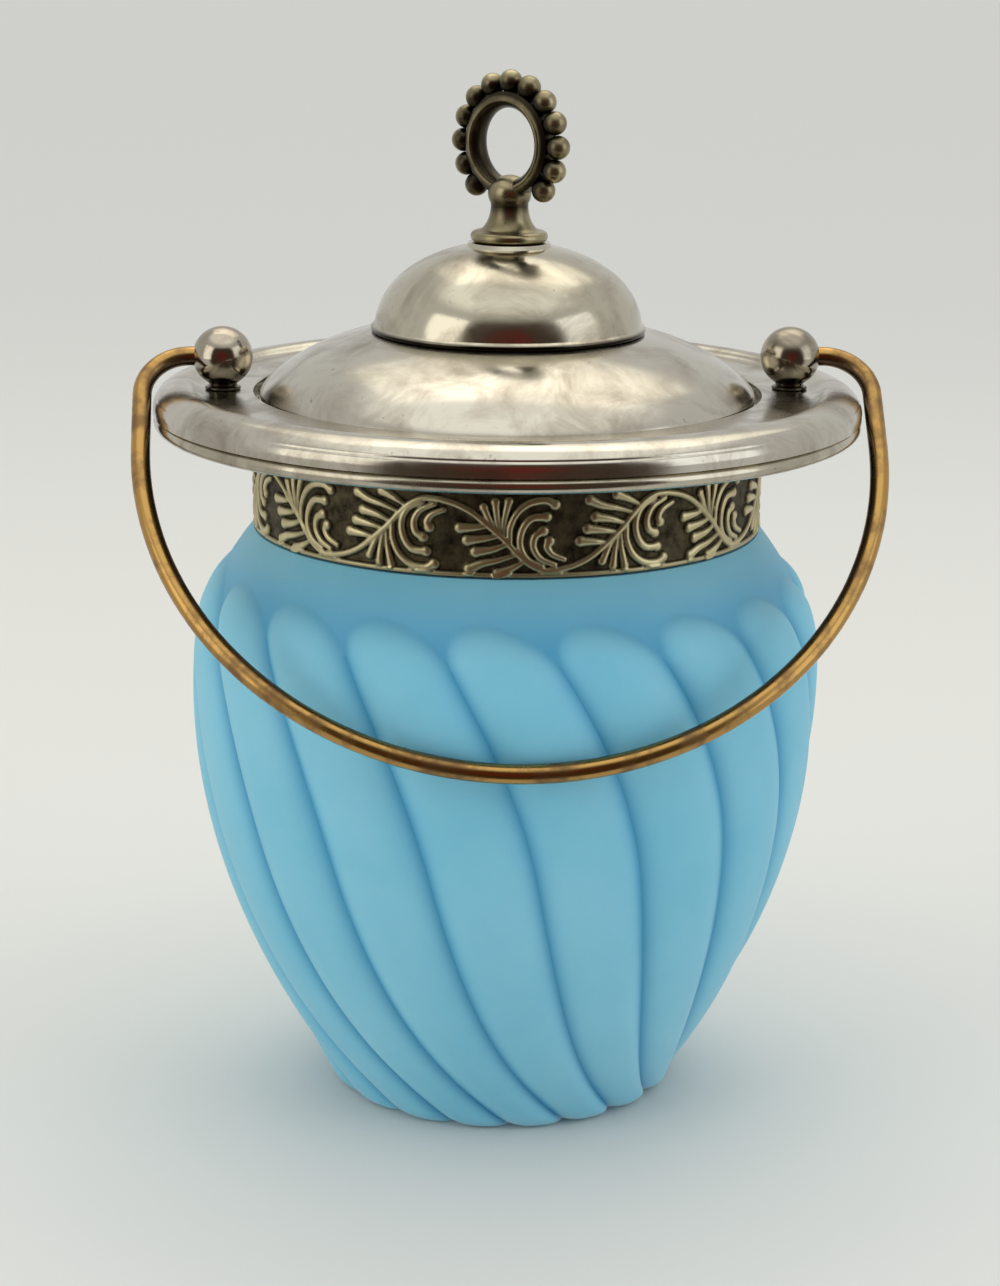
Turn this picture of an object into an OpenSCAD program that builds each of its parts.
// Covered biscuit jar: a ribbed satin-glass body in a plated metal mount with a
// swinging bail handle and a lift-off domed lid.
// Origin: centre of the foot on the table. +Z is up, the front faces -Y, and the
// bail's pivots lie along X. Every length is in millimetres.

/* [Glass jar] */
// Radius of the body where it turns under to the foot
foot_r = 33; // [30:0.5:36]
// Width of the ring that the jar stands on
foot_ring_w = 2.8; // [2:0.2:5]
// Radius of the rounded heel
heel_r = 3; // [2:0.25:4]
// How far the toes of the ribs swell out at the table
toe_swell = 2.5; // [0:0.25:4]
// Depth of the hollow under the foot
kick_h = 2; // [1:0.25:4]
// Largest radius, over the crests of the ribs
belly_r = 64; // [60:0.5:66]
// Height of the widest place
belly_z = 86; // [78:1:92]
// Height where the shoulder meets the collar
shoulder_z = 118; // [114:1:124]
// Outer radius of the neck inside the collar, which the collar, lid and rim follow
neck_r = 47.4; // [46:0.2:48]
// Height of the neck above the shoulder
neck_h = 21; // [18:0.5:24]
// Wall thickness
glass_t = 3; // [2.5:0.1:3.4]
// Thickness of the floor
floor_t = 7; // [5:0.5:10]

/* [Ribs] */
// Number of swirled ribs
rib_count = 18; // [14:1:20]
// Depth of the grooves between the ribs
rib_depth = 2.2; // [1.2:0.1:2.8]
// Twist of the ribs at mid height, in degrees for each millimetre
rib_twist = 0.17; // [0:0.01:0.3]
// Extra twist of the ribs at the foot, in degrees
heel_twist = 28; // [0:1:50]
// Height of the arched tops of the ribs
arch_h = 8; // [5:0.5:10]
// Distance of the arched tops below the shoulder
arch_drop = 7.5; // [6:0.5:12]

/* [Collar and rim] */
// Width of cement between the neck and the collar
cement_w = 2.5; // [2:0.1:3]
// Thickness of the collar metal
collar_t = 0.9; // [0.6:0.1:1.2]
// How far the rim reaches past the ball centres
rim_reach = 14; // [13:0.1:14.4]
// Thickness of the rim metal
rim_t = 1; // [0.8:0.1:1.3]
// Height of the crest of the rim above its flat
rim_rise = 1.6; // [1.5:0.1:3]
// Width of the sweep from the flat up to the crest
sweep_w = 3.9; // [3.5:0.1:4.5]
// Depth of the rounded side of the rim below its crest
roll_h = 4.6; // [4:0.1:5.2]
// Depth of the plain wall under the rounded side
rim_wall_h = 1.2; // [1:0.1:2]
// Depth of the well that the lid sits in
well_h = 3; // [1.5:0.1:3.6]
// Wire radius of the bead under the rim
bead_r = 1.5; // [1:0.1:1.8]

/* [Bail and its posts] */
// Gap between the balls and the edge of the lid
post_gap = 0.9; // [0.6:0.1:1.5]
// Radius of the balls
ball_r = 6; // [5.5:0.1:6.2]
// Height of the ball centres above the flat of the rim
ball_h = 6.6; // [6.5:0.1:8]
// Radius of the foot under each ball
post_foot_r = 3.6; // [3.3:0.1:3.9]
// Thickness of the foot under each ball
post_foot_h = 0.6; // [0.4:0.1:0.7]
// Radius of the neck under each ball
post_neck_r = 2.8; // [2.4:0.1:3.2]
// Radius of the threaded shank of each post
shank_r = 2; // [1.6:0.1:2.2]
// Wire radius of the bail
wire_r = 1.9; // [1.5:0.1:2]
// Distance of the arms outside the edge of the rim, to the middle of the wire
arm_out = 1.8; // [1.7:0.1:5]
// Length of the arms from the pivots to the half circle
arm_h = 21.7; // [14:0.1:26]
// Radius of the bends between the pivots and the arms
bend_r = 9.3; // [5:0.1:9.5]
// Depth of the pivot bores in the balls
bore_depth = 5; // [3:0.25:6]

/* [Lid] */
// How far the lid reaches past the neck
lid_over = 2.7; // [2:0.1:3]
// Thickness of the lid metal
lid_t = 1; // [0.7:0.1:1.2]
// Height of the saucer above its lip, if it were carried to the centre
saucer_rise = 15.4; // [12:0.2:18]
// Depth of the lip of the saucer
lip_h = 1.6; // [1.3:0.1:2.2]
// Outer radius of the upper dome
dome_r = 26.8; // [22:0.2:32]
// Height of the upper dome
dome_h = 17.8; // [14:0.2:22]
// Wire radius of the roll round the foot of the dome
dome_roll_r = 0.7; // [0.5:0.05:1]
// Depth of the locating ring below the lip
bezel_h = 5; // [3:0.5:7]
// Thickness of the locating ring
bezel_t = 0.9; // [0.6:0.1:1.1]

/* [Finial] */
// Radius of the foot of the finial
finial_foot_r = 7.75; // [6:0.25:9]
// Thickness of the edge of that foot
finial_foot_h = 2.2; // [1:0.1:2.6]
// Radius of the stem
stem_r = 3.7; // [3:0.1:4]
// Height of the stem between the foot and the knop
stem_h = 3.6; // [3:0.1:7]
// Radius of the knop
knop_r = 4.3; // [4.1:0.1:5]
// Half the height of the knop
knop_h = 3.7; // [3:0.1:5]
// Radius of the circle that the beads of the ring lie on
ring_r = 12.1; // [10.5:0.1:14]
// Radius of each bead of the ring
ring_bead_r = 2.35; // [1.8:0.05:2.6]
// Number of places for beads round the ring
ring_places = 16; // [14:1:18]
// Inner radius of the ring, at the middle of its width
ring_hole_r = 7; // [6:0.1:7.6]
// Width of the band of the ring
ring_w = 5; // [3:0.1:6]
// Turn of the ring about the upright axis, in degrees
ring_turn = -43; // [-90:1:90]
// Radius of the finial's screw
screw_r = 1.5; // [1.2:0.1:1.8]

/* [Nuts and washer] */
// Width of metal round the thread of each post nut
post_nut_w = 2; // [1.5:0.1:2.1]
// Height of each post nut
post_nut_h = 2.5; // [1.5:0.1:3]
// Width of metal round the thread of the finial's nut
finial_nut_w = 1.7; // [1.2:0.1:2.5]
// Height of the finial's nut
finial_nut_h = 2.2; // [1.5:0.1:3]
// Radius of the washer under the finial's nut
washer_r = 4.5; // [4:0.1:5.5]
// Thickness of that washer
washer_h = 1; // [0.6:0.1:1.5]
// Length of thread that shows below a nut
thread_end = 1.1; // [0.5:0.1:2]

/* [Fits] */
// Gap between pieces that are fixed to each other
seat_gap = 0.05; // [0.02:0.01:0.1]
// Gap under the lip of the lid
rest_gap = 0.1; // [0.05:0.01:0.2]
// Radial play of the bail in its bores
pivot_play = 0.08; // [0.03:0.01:0.1]
// Gap between the leaning bail and the glass
lean_gap = 0.3; // [0.2:0.05:1]
// Radial play of the locating ring in the mouth
mouth_play = 0.5; // [0.3:0.05:1]
// Radial play of the lid in the well of the rim
well_play = 0.8; // [0.4:0.1:1]

/* [Hidden] */

// Smoothness of round shapes, and of thin wire and beads
$fn = 96;
wire_fn = 32;

// Colours
glass_blue = [0.50, 0.72, 0.82];
plate_grey = [0.66, 0.64, 0.57];
dark_plate = [0.45, 0.43, 0.37];
worn_brass = [0.63, 0.50, 0.27];
plaster = [0.86, 0.84, 0.78];

// Parts of the glass outline
mid_z = 60;
heel_twist_h = 14;
toe_h = 5;
top_twist = 0.0048;
groove_turn = 2.6;
rib_shape = 3;
arch_top_z = shoulder_z - arch_drop;
arch_z = arch_top_z - arch_h;
ledge = 0.4;
kick_r = foot_r - rib_depth - heel_r - foot_ring_w;
mouth_r = neck_r - glass_t;

// Radii that follow from the neck
collar_in_r = neck_r + cement_w;
collar_r = collar_in_r + collar_t;
shoulder_r = collar_r + ledge;
lid_r = neck_r + lid_over;
post_x = lid_r + post_gap + ball_r;
rim_r = post_x + rim_reach;

// Heights that stack up from the glass
edge_gap = 0.2;
edge_r = 0.6;
neck_top_z = shoulder_z + neck_h;
collar_low_z = shoulder_z + edge_gap;
collar_top_z = neck_top_z + 2.4;
seat_z = collar_top_z + seat_gap + rim_t;
rim_flat_z = seat_z + well_h;
crest_z = rim_flat_z + rim_rise;
rim_wall_z = crest_z - roll_h - rim_wall_h;
pivot_z = rim_flat_z + ball_h;
lid_z = seat_z + rest_gap;
lip_top_z = lid_z + lip_h;
dome_seat_w = dome_roll_r + 0.2;
dome_seat_z = lip_top_z + crown(dome_r + dome_seat_w);
dome_z = dome_seat_z + seat_gap;
dome_top_z = dome_z + dome_h;
finial_z = dome_top_z + seat_gap;
knop_z = finial_z + finial_foot_h + stem_h + knop_h;
knop_sink = 0.9;
ring_z = knop_z + knop_h - knop_sink + ring_hole_r;

// Radii and places that follow from the sizes above
well_r = lid_r + well_play;
throat_r = mouth_r + 0.5;
bezel_r = mouth_r - mouth_play;
foot_room = 0.3;
flat_end_r = post_x + post_foot_r + foot_room;
crest_r = flat_end_r + sweep_w;
shank_hole_r = shank_r + seat_gap;
screw_hole_r = screw_r + seat_gap;
bore_r = wire_r + pivot_play;
arm_x = rim_r + arm_out;
bail_l = arm_h + arm_x;
dome_flat_r = finial_foot_r + 0.3;

// ---- Glass ---------------------------------------------------------------------

// Radius over the crests of the ribs at height z: a long curve from the foot up to
// the belly, then a shoulder that turns in to the collar. The toes swell out below.
function crest(z) =
    toe_swell * exp(-z / toe_h)
    + (z < belly_z
        ? foot_r + (belly_r - foot_r) * (1 - pow(1 - z / belly_z, 2.05))
        : belly_r - (belly_r - shoulder_r)
            * pow((z - belly_z) / (shoulder_z - belly_z), 3));

// Depth of the grooves at height z, which die away close to the collar
function groove_depth(z) =
    rib_depth * (1 - pow(max(0, z - belly_z) / (shoulder_z - belly_z), 6));

// Radius at the bottom of the grooves
function plain(z) = crest(z) - groove_depth(z);

// How far the heel draws in near the table
function heel(z) =
    z < heel_r ? heel_r - sqrt(heel_r * heel_r - pow(heel_r - z, 2)) : 0;

// Turn of the grooves at height z, in degrees
function swirl(z) =
    groove_turn - rib_twist * (z - mid_z) - top_twist * pow(max(0, z - mid_z), 2)
    + heel_twist * exp(-z / heel_twist_h);

// Height of a rib above its grooves, from 0 to 1, at t from -1 to 1 across it
function rib(t, z) =
    let (w = z < arch_z ? abs(t) : norm([t, (z - arch_z) / arch_h]))
    w < 1 ? 1 - pow(w, rib_shape) : 0;

// Points round the glass, a fixed number to each rib
rib_steps = 6;
ring_n = rib_count * rib_steps;
function around(i, r, z, turn) =
    let (a = 360 * i / ring_n + turn - 90)
    [r * cos(a), r * sin(a), z];
function glass_ring(z) = [
    for (i = [0:ring_n - 1])
        let (
            t = 2 * (i % rib_steps) / rib_steps - 1,
            r = plain(z) + groove_depth(z) * rib(t, z) - heel(z)
        )
        around(i, r, z, swirl(z))
];
function plain_ring(r, z) = [
    for (i = [0:ring_n - 1]) around(i, r, z, swirl(shoulder_z))
];

// Heights of the rings, close together at the heel and at the arches
heel_zs = [for (s = [0, 0.12, 0.4, 1]) s * heel_r];
body_zs = [
    for (s = [0.08, 0.17, 0.27, 0.38, 0.5, 0.62, 0.74, 0.85, 0.93])
        heel_r + s * (arch_z - heel_r)
];
arch_zs = [for (s = [0, 0.3, 0.55, 0.75, 0.9, 1]) arch_z + s * arch_h];
shoulder_zs = [for (s = [0.35, 0.7, 1]) arch_top_z + s * arch_drop];

// Skins a stack of rings of equal length into a closed solid, with its first and
// last rings closed by flat caps
module skin(rings) {
    n = len(rings[0]);
    last = len(rings) - 1;
    points = [for (ring = rings) for (p = ring) p];
    sides = [
        for (k = [0:last - 1])
            for (i = [0:n - 1])
                let (j = (i + 1) % n, a = k * n, b = a + n)
                for (tri = [[a + i, b + i, a + j], [a + j, b + i, b + j]])
                    tri
    ];
    bottom = [[for (i = [0:n - 1]) i]];
    top = [[for (i = [0:n - 1]) last * n + n - 1 - i]];
    polyhedron(points = points, faces = concat(bottom, sides, top));
}

// Ring of the inner wall, square to the outer one at height z
function inner_ring(z) =
    let (dr = plain(z + 0.5) - plain(z - 0.5), l = norm([dr, 1]))
    plain_ring(plain(z) - glass_t / l, z + glass_t * dr / l);

// One skin runs from the hollow under the foot, up the outside, over the neck and
// down the inside to the floor
module glass_jar() {
    neck_foot = 1.5;
    floor_round = 4;
    wall_steps = 8;
    wall_low_z = floor_t + 3;
    wall_high_z = shoulder_z - 0.6;
    foot = [plain_ring(kick_r, kick_h), plain_ring(kick_r, 0)];
    body = [
        for (z = concat(heel_zs, body_zs, arch_zs, shoulder_zs)) glass_ring(z)
    ];
    neck = [
        plain_ring(neck_r + neck_foot, shoulder_z + 0.1),
        plain_ring(neck_r + neck_foot / 3, shoulder_z + neck_foot / 3),
        plain_ring(neck_r, shoulder_z + neck_foot),
        plain_ring(neck_r, neck_top_z),
        plain_ring(mouth_r, neck_top_z),
        plain_ring(mouth_r, shoulder_z - neck_foot)
    ];
    inside = [
        for (i = [wall_steps:-1:0])
            inner_ring(wall_low_z + i / wall_steps * (wall_high_z - wall_low_z))
    ];
    floor_r = norm([inside[wall_steps][0][0], inside[wall_steps][0][1]]) - floor_round;
    color(glass_blue)
        skin(concat(foot, body, neck, inside, [plain_ring(floor_r, floor_t)]));
}

// ---- Collar, cement and rim ----------------------------------------------------

// A round tube standing at height z
module tube(r_out, r_in, z, h) {
    translate([0, 0, z])
        difference() {
            cylinder(r = r_out, h = h);
            translate([0, 0, -1])
                cylinder(r = r_in, h = h + 2);
        }
}

// A ring of round wire
module wire_ring(r, z, thick_r) {
    translate([0, 0, z])
        rotate_extrude()
            translate([r, 0])
                circle(r = thick_r, $fn = wire_fn);
}

module cement_bed() {
    bed_z = shoulder_z + 2;
    color(plaster)
        tube(collar_in_r - seat_gap, neck_r + seat_gap, bed_z, neck_top_z - bed_z);
}

// A plain band with a moulded bead near each edge
module neck_collar() {
    color(dark_plate)
        union() {
            tube(collar_r, collar_in_r, collar_low_z, collar_top_z - collar_low_z);
            wire_ring(collar_r, collar_low_z + edge_r, edge_r);
            wire_ring(collar_r, rim_wall_z - 2 * bead_r, edge_r);
        }
}

// Points on an oval of half width w and half height h about [x, y], from angle a to
// angle b, and on an arc
function oval(x, y, w, h, a, b, steps) = [
    for (i = [0:steps])
        let (t = a + (b - a) * i / steps)
        [x + w * cos(t), y + h * sin(t)]
];
function arc(x, y, r, a, b, steps) = oval(x, y, r, r, a, b, steps);

// The sweep up to the crest is two equal arcs. This is how far each one turns, and
// their radius
sweep_a = 2 * atan(rim_rise / sweep_w);
sweep_r = sweep_w / sin(sweep_a) / 2;

// Section of the rim below its upper line, which is lowered and drawn in by inset
module rim_section(inset) {
    well_out_r = well_r + inset;
    polygon(concat(
        [
            [throat_r, seat_z - inset],
            [well_out_r, seat_z - inset],
            [well_out_r, rim_flat_z - inset]
        ],
        arc(flat_end_r, rim_flat_z + sweep_r, sweep_r + inset, -90, sweep_a - 90, 5),
        arc(crest_r, crest_z - sweep_r, sweep_r - inset, 90 + 0.75 * sweep_a, 90, 3),
        oval(crest_r, crest_z - roll_h,
            rim_r - crest_r - inset, roll_h - inset, 80, 0, 8),
        [
            [rim_r - inset, rim_wall_z - 1 - inset],
            [throat_r, rim_wall_z - 1 - inset]
        ]
    ));
}

module rim_flange() {
    color(plate_grey)
        difference() {
            rotate_extrude()
                intersection() {
                    difference() {
                        rim_section(0);
                        rim_section(rim_t);
                    }
                    translate([throat_r, rim_wall_z])
                        square([rim_r, crest_z]);
                }
            for (side = [-1, 1])
                translate([side * post_x, 0, seat_z - rim_t])
                    cylinder(r = shank_hole_r, h = rim_flat_z);
        }
}

module rim_bead() {
    inset = 0.1;
    color(plate_grey)
        wire_ring(rim_r - bead_r - inset, rim_wall_z - bead_r - seat_gap, bead_r);
}

// ---- Ball posts and their nuts --------------------------------------------------

// A ball on a short neck and foot, with a shank through the rim and a blind bore for
// the bail in its outer side
module ball_post(side) {
    foot_z = rim_flat_z + seat_gap;
    shank_low_z = rim_flat_z - rim_t - seat_gap - post_nut_h - thread_end;
    color(plate_grey)
        difference() {
            translate([side * post_x, 0, 0])
                union() {
                    translate([0, 0, pivot_z])
                        sphere(r = ball_r);
                    translate([0, 0, foot_z])
                        cylinder(r = post_neck_r, h = pivot_z - foot_z);
                    translate([0, 0, foot_z])
                        cylinder(r = post_foot_r, h = post_foot_h);
                    translate([0, 0, shank_low_z])
                        cylinder(r = shank_r, h = pivot_z - shank_low_z);
                }
            translate([side * (post_x + ball_r - bore_depth), 0, pivot_z])
                rotate([0, side * 90, 0])
                    cylinder(r = bore_r, h = bore_depth + 1);
        }
}

module left_ball_post() {
    ball_post(-1);
}

module right_ball_post() {
    ball_post(1);
}

// A hexagon nut with its lower face at height z
module hex_nut(hole_r, width, z, h) {
    translate([0, 0, z])
        difference() {
            cylinder(r = (hole_r + width) / cos(30), h = h, $fn = 6);
            translate([0, 0, -1])
                cylinder(r = hole_r, h = h + 2);
        }
}

module post_nut(side) {
    color(plate_grey)
        translate([side * post_x, 0, 0])
            hex_nut(shank_hole_r, post_nut_w,
                rim_flat_z - rim_t - seat_gap - post_nut_h, post_nut_h);
}

module left_post_nut() {
    post_nut(-1);
}

module right_post_nut() {
    post_nut(1);
}

// ---- Bail ----------------------------------------------------------------------

// How far the wire stands off its resting place on the glass when the bail leans a
// degrees below level
function stand_off(a) =
    bail_l * cos(a) - crest(pivot_z - bail_l * sin(a)) - wire_r - lean_gap;

// Angle at which the bail comes to rest on the glass, found by halving
function lean(low, high, n) =
    n == 0
        ? (low + high) / 2
        : let (mid = (low + high) / 2)
            stand_off(mid) > 0 ? lean(mid, high, n - 1) : lean(low, mid, n - 1);
bail_lean = lean(20, 75, 24);

// Part of a ring of wire in the XZ plane, from an angle above +X
module wire_arc(x, z, r, start, sweep) {
    translate([x, 0, z])
        rotate([90, 0, 0])
            rotate([0, 0, start])
                rotate_extrude(angle = sweep)
                    translate([r, 0])
                        circle(r = wire_r, $fn = wire_fn);
}

module wire_bar(x, z, tilt, l) {
    translate([x, 0, z])
        rotate([0, tilt, 0])
            cylinder(r = wire_r, h = l, $fn = wire_fn);
}

module bail() {
    end_gap = 0.5;
    pin_x = post_x + ball_r - bore_depth + end_gap;
    bend_x = arm_x - bend_r;
    color(worn_brass)
        translate([0, 0, pivot_z])
            rotate([bail_lean - 90, 0, 0])
                union() {
                    for (side = [-1, 1]) {
                        wire_bar(side * pin_x, 0, side * 90, bend_x - pin_x);
                        wire_bar(side * arm_x, -arm_h, 0, arm_h - bend_r);
                    }
                    wire_arc(bend_x, -bend_r, bend_r, 0, 90);
                    wire_arc(-bend_x, -bend_r, bend_r, 90, 90);
                    wire_arc(0, -arm_h, arm_x, 180, 180);
                }
}

// ---- Lid -----------------------------------------------------------------------

// Height of the saucer above its lip at radius r
function crown(r) = saucer_rise * pow(max(0, 1 - pow(r / lid_r, 2.6)), 0.71);

module lid_saucer() {
    steps = 12;
    seat_out_r = dome_r + dome_seat_w;
    seat_in_r = seat_out_r - 3.3;
    inner_scale = 1 - lid_t / lid_r;
    top = [
        for (i = [0:steps])
            let (r = seat_out_r + (lid_r - seat_out_r) * sin(90 * i / steps))
            [r, lip_top_z + crown(r)]
    ];
    color(plate_grey)
        rotate_extrude()
            polygon(concat(
                [[seat_in_r, dome_seat_z]],
                top,
                [
                    [lid_r, lid_z],
                    [lid_r - lid_t, lid_z]
                ],
                [for (i = [steps:-1:0]) [top[i][0] * inner_scale, top[i][1] - lid_t]],
                [[seat_in_r, dome_seat_z - lid_t]]
            ));
}

// Half outline of a dome of radius r whose crown is at height top_z
function dome_line(r, top_z) = [
    for (a = [0:7.5:82.5])
        let (x = r * pow(cos(a), 0.96), z = dome_z + (top_z - dome_z) * pow(sin(a), 0.94))
        if (x > dome_flat_r)
            [x, z]
];

module lid_dome() {
    inner_z = dome_top_z - lid_t;
    inner = dome_line(dome_r - lid_t, inner_z);
    inner_flat_r = dome_flat_r - lid_t / 4;
    color(plate_grey)
        union() {
            rotate_extrude()
                polygon(concat(
                    dome_line(dome_r, dome_top_z),
                    [
                        [dome_flat_r, dome_top_z],
                        [screw_hole_r, dome_top_z],
                        [screw_hole_r, inner_z],
                        [inner_flat_r, inner_z]
                    ],
                    [for (i = [len(inner) - 1:-1:0]) inner[i]]
                ));
            wire_ring(dome_r, dome_z + dome_roll_r, dome_roll_r);
        }
}

// A ring of L section: its flange is soldered inside the lip
module lid_bezel() {
    flange_z = lid_z + 0.1;
    flange_gap = 0.6;
    flange_r = lid_r - lid_t - flange_gap;
    color(plate_grey)
        rotate_extrude()
            polygon([
                [bezel_r - bezel_t, lid_z - bezel_h],
                [bezel_r, lid_z - bezel_h],
                [bezel_r, flange_z],
                [flange_r, flange_z],
                [flange_r, flange_z + bezel_t],
                [bezel_r - bezel_t, flange_z + bezel_t]
            ]);
}

// ---- Finial --------------------------------------------------------------------

// Section of the turned stem: foot, cove and knop, swollen by grow
module stem_section(grow) {
    round_r = finial_foot_h / 2;
    foot_z = finial_z + finial_foot_h;
    cove_top_z = knop_z - knop_h * cos(asin(stem_r / knop_r));
    cove_r = finial_foot_r - round_r - stem_r;
    polygon(concat(
        [[0, finial_z]],
        arc(finial_foot_r - round_r, finial_z + round_r, round_r + grow, -75, 75, 5),
        [
            for (a = [15:15:75])
                [
                    stem_r + grow + cove_r * (1 - sin(a)),
                    foot_z + (cove_top_z - foot_z) * (1 - cos(a))
                ]
        ],
        [
            for (a = [0:15:180])
                let (z = knop_z - (knop_h + grow) * cos(a))
                if (z > cove_top_z)
                    [a == 180 ? 0 : (knop_r + grow) * sin(a), z]
        ]
    ));
}

module finial_stem() {
    socket_h = 4.5;
    color(dark_plate)
        difference() {
            rotate_extrude()
                stem_section(0);
            translate([0, 0, finial_z - 1])
                cylinder(r = screw_hole_r, h = socket_h + 1);
        }
}

// A band, convex inside, with beads round it, cast with a seat that fits over the
// knop. The lowest places have no bead, where the knop is.
module finial_ring() {
    bead_sink = 0.5;
    band_r = ring_r - ring_bead_r + bead_sink;
    bulge = 1.2;
    bulge_r = (bulge * bulge + ring_w * ring_w / 4) / (2 * bulge);
    bulge_a = asin(ring_w / 2 / bulge_r);
    pitch = 360 / ring_places;
    color(dark_plate)
        difference() {
            translate([0, 0, ring_z])
                rotate([90, 0, ring_turn])
                    union() {
                        rotate_extrude()
                            polygon(concat(
                                [[band_r, -ring_w / 2], [band_r, ring_w / 2]],
                                arc(ring_hole_r + bulge_r, 0, bulge_r,
                                    180 - bulge_a, 180 + bulge_a, 6)
                            ));
                        for (i = [2:ring_places - 2])
                            rotate([0, 0, i * pitch - 90])
                                translate([ring_r, 0, 0])
                                    sphere(r = ring_bead_r, $fn = wire_fn);
                    }
            rotate_extrude()
                stem_section(seat_gap);
        }
}

// Heights of the washer, the nut and the end of the screw under the dome
washer_z = dome_top_z - lid_t - seat_gap - washer_h;
finial_nut_z = washer_z - seat_gap - finial_nut_h;

module finial_screw() {
    grip = 4;
    low_z = finial_nut_z - thread_end;
    color(plate_grey)
        translate([0, 0, low_z])
            cylinder(r = screw_r, h = finial_z + grip - low_z);
}

module finial_washer() {
    color(plate_grey)
        tube(washer_r, screw_hole_r, washer_z, washer_h);
}

module finial_nut() {
    color(plate_grey)
        hex_nut(screw_hole_r, finial_nut_w, finial_nut_z, finial_nut_h);
}

glass_jar();
cement_bed();
neck_collar();
rim_flange();
rim_bead();
left_ball_post();
right_ball_post();
left_post_nut();
right_post_nut();
bail();
lid_saucer();
lid_dome();
lid_bezel();
finial_stem();
finial_ring();
finial_screw();
finial_washer();
finial_nut();
